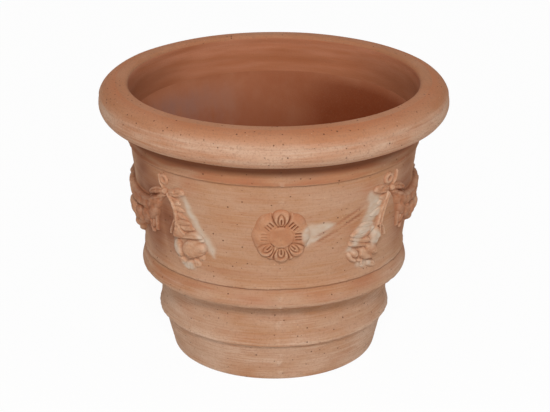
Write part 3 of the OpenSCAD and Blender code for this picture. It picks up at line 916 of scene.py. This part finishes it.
def rosetteField(across, up):
    s = rosette
    dy = up - s["centre"]
    rho = np.hypot(across, dy)
    around = np.arctan2(dy, across)
    edge = s["radius"] + s["scallop"] * np.cos(s["petals"] * (around - math.pi / 2))
    lower = ramp(-np.sin(around), *s["lower"])
    steep, blunt = (upper + change * lower for upper, change in (s["steep"], s["blunt"]))
    dome = s["high"] * np.clip(1 - (rho / edge) ** steep, 0, 1) ** blunt
    field = np.where(rho < edge, dome, relief["bare"])
    gap = np.full(across.shape, s["petalWide"])
    lines = np.zeros(across.shape)
    step = 2 * math.pi / s["petals"]
    for i in range(s["petals"]):
        middle = math.pi / 2 + i * step
        reach = rho * np.cos(around - middle)
        side = rho * np.sin(around - middle)
        swell = s["topSwell"] if i == 0 else 1
        along = (reach - s["petalMiddle"]) / s["petalLong"]
        wide = swell * s["petalWide"] * (1 + s["tipWider"] * np.clip(along, -1, 1))
        egg = np.hypot(along / swell, side / wide)
        eye = np.hypot((reach - s["eyeMiddle"]) / s["eyeLong"], side / s["eyeWide"])
        gap = np.where(reach > 0, np.minimum(gap, (egg - 1) * s["petalWide"]), gap)
        slot = ramp(reach - s["slotFrom"], -s["slotSoft"], s["slotSoft"])
        slot = slot * ramp(s["slotTo"] - reach, -s["slotSoft"], s["slotSoft"])
        drawn = [slot * stroke(side, s["line"])]
        if i in s["full"]:
            front = reach > s["petalFrom"]
            drawn.append(front * stroke((egg - 1) * s["petalWide"], s["line"]))
            drawn.append(front * s["eyeDeep"] * stroke((eye - 1) * s["eyeWide"], s["line"]))
        else:
            drawn.append(slot * stroke(np.abs(side) - s["eyeWide"], s["line"]))
        lines = np.maximum.reduce([lines] + drawn)
        # Each petal swells a little towards its tip
        field = field + np.where((reach > 0) & (field > 0), s["petalSwell"] * np.clip(1 - egg ** 2, 0, 1), 0)
    dart = np.abs((around - math.pi / 2) / step % 1 - 0.5) * step * rho
    standing = s["dart"] * (1 - ramp(dart, *s["dartWidth"])) * ramp(rho, *s["dartFrom"])
    drop = np.maximum(ramp(gap, *s["dropFade"]) - standing, 0)
    sharp = 1.0
    for direction, start, loss in s["rubbed"]:
        sharp = sharp - loss * ramp(np.cos(around - direction), start, s["rubbedFull"])
    field = field - np.where(rho > s["boss"], sharp * (s["deep"] * lines + drop), 0)
    field = field + s["bossHigh"] * ramp(s["boss"] - rho, 0, s["bossFade"])
    ring = s["bossLine"] * stroke(rho - s["boss"], s["bossLineWidth"])
    return field - np.where(field > 0, ring, 0)


rosetteSpan = (-rosette["reach"], rosette["reach"], rosette["centre"] - rosette["reach"],
               rosette["centre"] + rosette["reach"])
rosetteGrid = flatGrid(rosetteSpan, relief["cell"])
for name, node, bearing in (("rosetteFront", "rosette_front", 0), ("rosetteBack", "rosette_back", 180)):
    shape = rosetteField(*rosetteGrid)
    makeRelief(name, node, bearing, rosetteSpan, shape, rosette["seed"] + bearing, rosette["finish"])
print("rosettes made")


# Bows, fruit drops and swags. Places are mm across from the bow's middle and mm up from the knot

festoon = {
    "bearing": 50, "knot": 228, "bowSpan": (-44, 44, 164, 249.5), "dropSpan": (-2, 60, 132, 229),
    "flatten": 0.68, "formGroove": 0.8, "twigTaper": 0.3, "beadHigh": 1.6,
    "finish": {"melt": 2, "stain": 0.12, "crease": 0.65, "bloom": 0.45}, "seed": 301,
}

# Ribbon bow with its drop to the right: a puffed loop to each hand, a ring loop above and tails
bow = {
    # Routes with half width and height
    "tails": [([(-3, -5), (-14, -11), (-27, -20), (-38, -32), (-39, -43), (-32, -52)], 2.9, 6),
              ([(-12, -10), (-22, -19), (-30, -33), (-31, -51)], 2.3, 4.6),
              ([(-5, -7), (-14, -17), (-22, -31), (-26, -55)], 2.2, 4.4),
              ([(-30, -16), (-37, -30), (-39, -48), (-35, -60)], 2.4, 5)],
    "upTail": ([(-2, 2), (-7, 9), (-7.5, 18)], 1.8, 3),
    # Outlines with height and edge rounding
    "shortTail": ([(3, -2), (10, -4.5), (19, -6.5), (16, -10.5), (11.6, -13.5), (7, -9)], 2.4, 3),
    "innerLoop": ([(2, 1.5), (8.9, 4.2), (14, 6.5), (19.8, 8), (26, 8.2), (29.3, 6), (29.3, 2.5),
                   (24.5, -0.5), (15.5, -3), (8.6, -3.6), (3, -2)], 3.4, 4),
    "outerLoop": ([(-1, 2), (-9, 2.5), (-18, 0.5), (-27, -4), (-33, -9), (-30, -12.5), (-20, -9.5),
                   (-10, -5.5), (-2, -3)], 3.4, 4),
    # Folds and the eye of each loop, and how wide and deep they are
    "innerFolds": [[(4, 0.8), (11, 3.6), (19, 5.2)], [(5, -1), (13, 0), (21, 2.4)]],
    "outerFolds": [[(-4, 0), (-14, -1.5), (-26, -7)]],
    "fold": (1.0, 1.3), "innerEye": (15.5, 3.2), "outerEye": (-15, -3), "eye": (2.0, 1.8),
    # Ring loop of the left and the right bow: place and height
    "rings": {"left": ((-1, 14), 2.2), "right": ((8, 13.5), 3.6)}, "ringRadius": 4.6, "ringHalf": 2.2,
    "knot": ((0, 0), (4, 3.8), 5.6), "knotGroove": 1.2, "knotPit": ((1.2, 1.5), 1.1, 1.2),
    "finish": {"melt": 1, "stain": 0.35, "crease": 0.75, "bloom": 0.2}, "seed": 201,
}


def bowField(across, up, ring):
    s = bow
    y = up - festoon["knot"]
    field = bareField(across)
    for points, half, high in reversed(s["tails"]):
        field = lay(field, *ridge(across, y, points, half, high * festoon["flatten"]))
    field = lay(field, *lobe(across, y, *s["shortTail"]))
    for hand in ("inner", "outer"):
        field = lay(field, *lobe(across, y, *s[hand + "Loop"]))
        for fold in s[hand + "Folds"]:
            field = scored(field, across, y, fold, *s["fold"])
        field = dimpled(field, across, y, s[hand + "Eye"], *s["eye"])
    (ringX, ringY), ringHigh = ring
    away = np.hypot(across - ringX, y - ringY) - s["ringRadius"]
    hoop = ringHigh * np.sqrt(np.clip(1 - (away / s["ringHalf"]) ** 2, 0, 1))
    field = lay(field, hoop, np.abs(away) - s["ringHalf"])
    field = lay(field, *ridge(across, y, *s["upTail"]))
    field = lay(field, *fruit(across, y, *s["knot"]), s["knotGroove"])
    return dimpled(field, across, y, *s["knotPit"])


# The mould of a garland has a different drop at each end: this one hangs to the right of its bow.
# Forms are outline, relief, edge rounding and lean, from the lowest up
rightDrop = {
    "forms": [
        ([(13, -9), (18, -8), (22, -11), (18, -13.5), (13.5, -13)], 2.6, 2.5, (0, 0)),
        ([(14, -15), (20, -14.5), (27, -18), (22, -21), (15, -20)], 3, 3, (0, 0)),
        ([(15, -22), (22, -22), (29.5, -27), (23, -28.5), (15.5, -27)], 3.4, 3, (0, 0)),
        ([(20.3, -80.9), (24.1, -78.3), (29.7, -77.2), (32.7, -79.4), (33, -84.3), (29.6, -89.2),
          (23.2, -91.5), (18.3, -89.9), (18.4, -85.4)], 4.2, 5, (0, 0.2)),
        ([(32.2, -73), (38.2, -75.5), (40.5, -80.6), (37.5, -84.3), (32.8, -83.1)], 4, 4, (-0.1, 0.2)),
        ([(38.9, -68.8), (44, -66.1), (47, -68), (46, -73.5), (40, -74.4)], 3.4, 4, (-0.2, 0)),
        ([(9, -76), (15, -76), (19, -80.5), (16.5, -85), (11, -86.5), (7.2, -82)], 3.8, 5, (0.1, 0.2)),
        ([(16, -30.5), (23.6, -29.4), (31.2, -29.8), (33.5, -32.7), (26.2, -34.8), (19.2, -36),
          (15.3, -35.1)], 4.6, 2.6, (0, 0.2)),
        ([(18.3, -36.9), (25.8, -35.5), (33, -33.9), (38, -37.5), (31.5, -40.6), (24.8, -42.1),
          (20.5, -40.6)], 5.6, 3, (0, 0.15)),
        ([(29.5, -52.5), (36, -50.8), (46.5, -47.4), (49, -50), (43.1, -51.9), (34.6, -53.9)], 6.5, 2.4,
          (0, 0)),
        ([(15.3, -50.1), (22.7, -46.5), (28.8, -42.4), (37.6, -39.7), (43, -42), (47.5, -46),
          (40.4, -48.7), (33, -50.1), (26.5, -50.8), (18.4, -52.6), (12.3, -54)], 7.4, 3.6, (0, 0.12)),
        ([(13.7, -35.7), (15.8, -39.7), (18.7, -43.2), (22.7, -46.5), (19.9, -50.2), (13.7, -53.1),
          (8.1, -53.8), (5.5, -50.1), (7, -44.7), (10, -39.5)], 7, 5, (0, -0.08)),
        ([(9.8, -55.6), (13.9, -56.3), (16.4, -58.5), (16.6, -63.4), (17.4, -69.1), (17.6, -73.9),
          (14.8, -76.5), (10.4, -75.5), (5.8, -72.5), (3.2, -67.4), (4.2, -62.2), (6.6, -57.9)], 7, 6.5,
          (0.2, -0.05)),
        ([(18.7, -61.1), (22.8, -55.9), (28.4, -52.3), (34.1, -51.8), (40.1, -51.4), (45.6, -51.4),
          (49.5, -53.5), (51, -57.4), (49.5, -62), (46.3, -65.5), (41.7, -68.8), (35.4, -71.8),
          (28.8, -74), (23.6, -73.4), (19.4, -69.1)], 11, 9, (0, -0.05)),
    ],
    "stems": [
        ([(3.7, -2), (7.7, -9), (11.3, -17), (12, -28.7), (9.7, -33), (7.3, -38), (3.9, -44.2), (2, -50)],
          1.7, 4.4),
        ([(7.5, -4), (13.2, -16.2), (14.6, -27), (13.6, -33.6), (15.8, -37.7), (18.5, -41.6),
          (24, -46.6)], 1.7, 4.8),
    ],
    "twigs": [([(13.4, -34), (12, -40), (11.4, -47)], 0.9, 7.4)],
    "lines": [
        ([(18, -33), (25, -32), (31, -31.8)], 0.8, 0.9), ([(20.5, -39), (28, -37.4), (35, -37)], 0.8, 1.0),
        ([(17, -51.4), (27, -46.5), (37, -44), (44, -45)], 0.8, 1.2),
        ([(43.3, -64), (48.2, -63.1), (52.4, -63.4)], 1, 1.2),
        ([(26, -53), (31, -57), (39, -58)], 1.2, 0.5), ([(9.5, -57.5), (11, -61), (10.5, -65)], 0.9, 0.8),
        ([(24, -79), (25, -84), (24, -89.5)], 0.9, 1.2),
        ([(28, -78.5), (29.5, -83), (28.5, -88)], 0.9, 1.0),
        ([(21, -82), (20.6, -86), (20.5, -89)], 0.9, 0.9),
    ],
    "pits": [((24.9, -70.4), 1.5, 2.4), ((27.6, -71.9), 1.2, 1.8), ((30.3, -66.4), 1, 1.1),
             ((40.4, -59.9), 0.9, 0.9), ((16.2, -81.6), 1.1, 1.6), ((10.2, -57), 1.1, 1.5),
             ((13, -58), 0.9, 1.1), ((36.8, -80), 1, 1.2)],
}
# And this one to the left of its bow, with its upper leaves nearly lost under the slip
leftDrop = {
    "forms": [
        ([(-10, -12), (-16, -10), (-22, -14), (-18, -18), (-11.5, -17)], 2.2, 3, (0, 0)),
        ([(-14, -20), (-22, -20), (-32, -25), (-26, -29), (-16, -28)], 2.8, 4, (0, 0)),
        ([(-27.1, -82), (-22.2, -82.3), (-15.2, -85.2), (-11.6, -90.4), (-13.8, -93.4), (-20.7, -91.6),
          (-26.8, -87.8)], 5.4, 4, (0, 0)),
        ([(-41.4, -32.4), (-32.4, -32), (-23.3, -35.6), (-19.6, -39.5), (-24.1, -39.2), (-28.8, -39.7),
          (-38.4, -38), (-44.5, -35.4)], 3.8, 2.6, (0, 0.15)),
        ([(-39.4, -37), (-29.9, -38.7), (-23.8, -39), (-21.6, -40.7), (-25.7, -45.3), (-31.6, -49.4),
          (-39.4, -50.6), (-49.5, -48.2), (-55.7, -44.7), (-51, -40), (-44.9, -37)], 5.8, 4, (0, 0.1)),
        ([(-51.3, -48.1), (-40.1, -51), (-32.4, -50.3), (-28.4, -53.3), (-27, -58.1), (-33.4, -58),
          (-41.8, -55), (-49.6, -52.3), (-55.5, -49.2)], 6.8, 3, (0, 0.1)),
        ([(-57, -52.8), (-49.6, -52.3), (-41.7, -55.2), (-33.2, -58.9), (-31.6, -62.4), (-40.8, -61),
          (-48.6, -58.9), (-55.6, -57.1)], 7.4, 2.8, (0, 0.1)),
        ([(-52.1, -62.6), (-47.4, -62.2), (-43, -66.7), (-43, -71), (-45.9, -73), (-50.8, -70),
          (-53.6, -66.2)], 8.4, 4, (0, 0)),
        ([(-57.4, -65.7), (-53.6, -65.6), (-49.8, -71.4), (-45, -74.5), (-45.4, -79), (-51.4, -76.6),
          (-56.4, -71)], 7.4, 3.6, (0, 0)),
        ([(-41.6, -63.4), (-37.5, -62), (-32.6, -64.5), (-26.4, -70.4), (-21, -75.2), (-20.8, -79.2),
          (-26.7, -79.8), (-33.6, -77.8), (-39.6, -73.2), (-42.2, -67.7)], 11, 7, (0, 0)),
        ([(-33.8, -59), (-27.9, -59.4), (-19.5, -62.1), (-15.8, -66.5), (-15, -72.7), (-17.7, -76.3),
          (-23.1, -74), (-28.6, -70.9), (-33.2, -65.2)], 10.5, 6.5, (0, 0)),
        ([(-19.1, -41.2), (-14.9, -44.5), (-11, -50.6), (-8.4, -56.9), (-13, -57.9), (-15.2, -61.5),
          (-17.1, -63.9), (-25.1, -61.1), (-27.6, -55.7), (-28.8, -51.4), (-26.5, -46.7), (-22.8, -43.4)],
          8.4, 6, (0, -0.05)),
    ],
    "stems": [
        ([(-6, -4), (-10.5, -14), (-14, -24), (-15.9, -29), (-16.7, -34.3), (-17.6, -40)], 1.7, 4.6),
        ([(-3.5, -6), (-7, -16), (-10, -26), (-11, -31), (-11.9, -35.7), (-11.4, -41.4)], 1.7, 4.6),
    ],
    "twigs": [
        ([(-11.5, -41), (-7.4, -46), (-3.9, -52.1), (-2.1, -56.7)], 1.8, 4.6),
        ([(-14, -40), (-13.6, -45), (-12.6, -50)], 0.9, 7.4),
    ],
    "lines": [
        ([(-40, -35), (-31, -35.4), (-24, -37.6)], 0.8, 0.8),
        ([(-51, -44), (-40, -44.6), (-28, -42.6)], 0.8, 1.1),
        ([(-47, -40.5), (-38, -41), (-29, -40.6)], 0.7, 0.7),
        ([(-48, -47.2), (-38, -47.6), (-30, -45.6)], 0.7, 0.7),
        ([(-50, -50.2), (-41, -52.8), (-32, -54.6)], 0.8, 1.0),
        ([(-53, -54.8), (-44, -57.2), (-35, -60.2)], 0.8, 1.0),
        ([(-22, -46), (-19, -53), (-19, -60)], 1.0, 0.5), ([(-29, -62), (-23, -65), (-20, -70)], 1.1, 0.5),
        ([(-24, -85), (-18, -87.4), (-14.5, -91)], 0.8, 0.9),
    ],
    "pits": [((-20.3, -75.5), 1.4, 2.2), ((-44.1, -60.6), 1.3, 1.8), ((-38, -66), 1, 1),
             ((-47.6, -67), 1, 1.2)],
    "beads": [(-35.3, -79.8, 2.0), (-35.4, -82.8, 2.0), (-34.2, -86.2, 2.2), (-39.5, -78, 2.4)],
}


def dropField(across, up, drop):
    s = festoon
    y = up - s["knot"]
    field = bareField(across)
    for x, z, r in drop.get("beads", []):
        field = lay(field, *fruit(across, y, (x, z), (r, r), r * s["beadHigh"]))
    for points, half, high in drop["stems"]:
        field = lay(field, *ridge(across, y, points, half, high))
    for corners, high, soft, lean in drop["forms"]:
        field = lay(field, *lobe(across, y, corners, high * s["flatten"], soft, lean), s["formGroove"])
    for points, half, high in drop["twigs"]:
        field = lay(field, *ridge(across, y, points, half, high, s["twigTaper"]))
    for points, wide, deep in drop["lines"]:
        field = scored(field, across, y, points, wide, deep)
    for centre, wide, deep in drop["pits"]:
        field = dimpled(field, across, y, centre, wide, deep)
    return field


# Garland between two bows, drawn from its middle to one end and then mirrored
swag = {
    "cell": 0.6, "span": (-104, 104, 149, 218), "fruitGroove": 1.1,
    # Fruits: place, half sizes and height. The lowest hang on one side only
    "lowFruits": [((19, -68), (8.5, 7.5), 8.5), ((33, -66), (6.5, 6), 7), ((26, -74), (4, 3.6), 5.5)],
    "fruits": [((66, -41), (9, 8.5), 8.5), ((47, -46), (11, 10), 10), ((24, -49), (12.5, 11.5), 11),
               ((35, -62), (5, 5), 7), ((13, -63), (5.5, 5), 7.5)],
    "middle": ((0, -52), (10, 11), 11.4), "middlePit": ((0, -59), 1.5, 2),
    "pits": [((24, -56), 1.5, 2), ((47, -52.5), 1.4, 1.8), ((66, -45.5), 1.2, 1.4), ((35, -64), 0.9, 1.2),
             ((13, -65), 0.9, 1.2)],
    # Leaves: base, tip, half width, height and bend
    "leaves": [
        ((100, -14), (70, -27), 7.5, 6.5, 1.5), ((84, -22), (50, -31), 8, 8, 1.5),
        ((64, -27), (30, -31), 8, 8.6, 1), ((44, -28), (10, -30), 8, 9, 1),
        ((92, -24), (74, -46), 6.5, 7, -1.5), ((78, -34), (58, -56), 6.5, 8.5, -1.5),
        ((60, -44), (42, -63), 6, 9, -1.5), ((34, -52), (18, -67), 5.5, 9, -1),
    ],
    # Cloth gathered under the hem, its pleats and the hem
    "drape": ([(100, -8), (88, -13), (70, -17), (45, -19), (15, -19.5), (-3, -20), (-3, -35), (20, -37),
               (45, -36), (68, -33), (86, -26), (98, -15)], 8.2, 5),
    "pleats": [[(94, -13), (88, -24)], [(82, -17), (74, -31)], [(67, -19), (59, -34)], [(50, -20), (43, -36)],
               [(32, -20), (26, -37)], [(14, -21), (10, -37)]],
    "pleat": (1.8, 1.8),
    "hem": ([(104, -6), (96, -11), (88, -15), (76, -18.5), (58, -20), (36, -20), (16, -20.5)], 2.4, 8.6),
    "finish": {"melt": 2, "stain": 0.35, "crease": 0.6, "bloom": 0.1}, "seed": 401,
}


def swagField(across, up):
    s = swag
    y = up - festoon["knot"]
    field = bareField(across)
    for berry in s["lowFruits"]:
        field = lay(field, *fruit(across, y, *berry))
    for hand in (-1, 1):
        u = across * hand
        for shape in s["leaves"]:
            field = lay(field, *leaf(u, y, *shape))
        for berry in s["fruits"]:
            field = lay(field, *fruit(u, y, *berry), s["fruitGroove"])
        for pit in s["pits"]:
            field = dimpled(field, u, y, *pit)
    field = lay(field, *fruit(across, y, *s["middle"]), s["fruitGroove"])
    for hand in (-1, 1):
        u = across * hand
        field = lay(field, *lobe(u, y, *s["drape"]))
        for pleat in s["pleats"]:
            field = scored(field, u, y, pleat, *s["pleat"])
        field = lay(field, *ridge(u, y, *s["hem"]))
    return dimpled(field, across, y, *s["middlePit"])


bowGrid = flatGrid(festoon["bowSpan"], relief["cell"])
leftBow = bowField(*bowGrid, bow["rings"]["left"])
rightBow = bowField(*bowGrid, bow["rings"]["right"])[:, ::-1]
dropSpan = festoon["dropSpan"]
mirrorSpan = (-dropSpan[1], -dropSpan[0], dropSpan[2], dropSpan[3])
rightFruit = dropField(*flatGrid(dropSpan, relief["cell"]), rightDrop)
leftFruit = dropField(*flatGrid(mirrorSpan, relief["cell"]), leftDrop)
festoons = [
    ("FrontLeft", "front_left", -festoon["bearing"], leftBow, dropSpan, rightFruit),
    ("FrontRight", "front_right", festoon["bearing"], rightBow, mirrorSpan, leftFruit),
    ("BackLeft", "back_left", festoon["bearing"] - 180, rightBow, mirrorSpan, leftFruit),
    ("BackRight", "back_right", 180 - festoon["bearing"], leftBow, dropSpan, rightFruit),
]
for count, (name, node, bearing, bowShape, fruitSpan, fruitShape) in enumerate(festoons):
    seeds = bow["seed"] + count, festoon["seed"] + count
    makeRelief("bow" + name, "bow_" + node, bearing, festoon["bowSpan"], bowShape, seeds[0], bow["finish"])
    makeRelief("drop" + name, "drop_" + node, bearing, fruitSpan, fruitShape, seeds[1], festoon["finish"])
garland = swagField(*flatGrid(swag["span"], swag["cell"]))
makeRelief("swagLeft", "swag_left", -90, swag["span"], garland, swag["seed"], swag["finish"])
makeRelief("swagRight", "swag_right", 90, swag["span"], garland, swag["seed"] + 1, swag["finish"])
print("festoons made")


# Stage, light and camera

stage = {"size": 14, "segments": 8, "floor": "#F3F1EE", "roughness": 0.9, "glow": "#FFFFFF",
         "cameraGlow": 0.96, "ambient": 0.14, "aim": (0, 0, 0.2)}


def seenDirectly(tree):
    # 1 for the rays that see the backdrop itself, 0 for the ones that light the pot
    ray = addNode(tree, "ShaderNodeLightPath")
    seen = addNode(tree, "ShaderNodeMath", {0: ray.outputs["Is Camera Ray"], 1: ray.outputs["Is Glossy Ray"]},
                   operation="MAXIMUM")
    return addNode(tree, "ShaderNodeMath", {0: seen.outputs[0], 1: ray.outputs["Is Transmission Ray"]},
                   operation="MAXIMUM").outputs[0]


def makeFloor():
    bm = bmesh.new()
    count = stage["segments"]
    bmesh.ops.create_grid(bm, x_segments=count, y_segments=count, size=stage["size"] / 2)
    mesh = bpy.data.meshes.new("studioFloor")
    bm.to_mesh(mesh)
    bm.free()
    floor = bpy.data.objects.new("studioFloor", mesh)
    bpy.context.scene.collection.objects.link(floor)
    # Painted studio floor that reads as white where the camera sees it and still holds a shadow
    material = bpy.data.materials.new("paintedFloor")
    material.use_nodes = True
    tree = material.node_tree
    paint = tree.nodes["Principled BSDF"]
    paint.inputs["Base Color"].default_value = hexColour(stage["floor"])
    paint.inputs["Roughness"].default_value = stage["roughness"]
    glow = addNode(tree, "ShaderNodeEmission", {"Color": hexColour(stage["glow"]), "Strength": 1.0})
    share = addNode(tree, "ShaderNodeMath", {0: seenDirectly(tree), 1: stage["cameraGlow"]},
                    operation="MULTIPLY")
    mix = addNode(tree, "ShaderNodeMixShader", {0: share.outputs[0], 1: paint.outputs[0], 2: glow.outputs[0]})
    tree.links.new(mix.outputs[0], tree.nodes["Material Output"].inputs["Surface"])
    mesh.materials.append(material)


def makeWorld():
    world = bpy.data.worlds.new("softStudio")
    world.use_nodes = True
    tree = world.node_tree
    sky = tree.nodes["Background"]
    sky.inputs["Color"].default_value = hexColour(stage["glow"])
    strength = addNode(tree, "ShaderNodeMapRange", {0: seenDirectly(tree), 3: stage["ambient"], 4: 1.0})
    tree.links.new(strength.outputs[0], sky.inputs["Strength"])
    bpy.context.scene.world = world


lamps = [
    {"name": "softKey", "place": (-0.12, -2.4, 2.0), "size": 0.5, "power": 45},
    {"name": "fillLow", "place": (0.0, -2.6, 0.3), "size": 1.4, "power": 9.5},
    {"name": "fillBack", "place": (0.0, 2.6, 1.7), "size": 1.6, "power": 13},
    {"name": "fillLeft", "place": (-2.3, -0.9, 1.5), "size": 1.5, "power": 11},
    {"name": "fillRight", "place": (2.3, -0.9, 1.5), "size": 1.5, "power": 11},
]


def makeLamps():
    for lamp in lamps:
        light = bpy.data.lights.new(lamp["name"], "AREA")
        light.size = lamp["size"]
        light.energy = lamp["power"]
        holder = bpy.data.objects.new(lamp["name"], light)
        holder.location = lamp["place"]
        aim = Vector(stage["aim"]) - holder.location
        holder.rotation_euler = aim.to_track_quat("-Z", "Y").to_euler()
        bpy.context.scene.collection.objects.link(holder)


# Camera fitted to the outline of the pot in the 550 by 412 frame
view = {"away": 2.1, "high": 1.002, "bearing": -2.84, "pitch": 21.7, "focalPixels": 1946, "imageWidth": 550,
        "sensor": 36, "axisPixel": 273.9, "farClip": 60}


def makeCamera():
    data = bpy.data.cameras.new("photoCamera")
    data.sensor_fit = "HORIZONTAL"
    data.sensor_width = view["sensor"]
    data.lens = view["focalPixels"] * view["sensor"] / view["imageWidth"]
    data.shift_x = 0.5 - view["axisPixel"] / view["imageWidth"]
    data.clip_end = view["farClip"]
    camera = bpy.data.objects.new("photoCamera", data)
    turn = math.radians(view["bearing"])
    camera.location = (view["away"] * math.sin(turn), -view["away"] * math.cos(turn), view["high"])
    camera.rotation_euler = (math.radians(90 - view["pitch"]), 0, turn)
    bpy.context.scene.collection.objects.link(camera)
    bpy.context.scene.camera = camera


makeFloor()
makeWorld()
makeLamps()
makeCamera()
bpy.context.scene.view_settings.view_transform = "Standard"
print("stage, light and camera made")
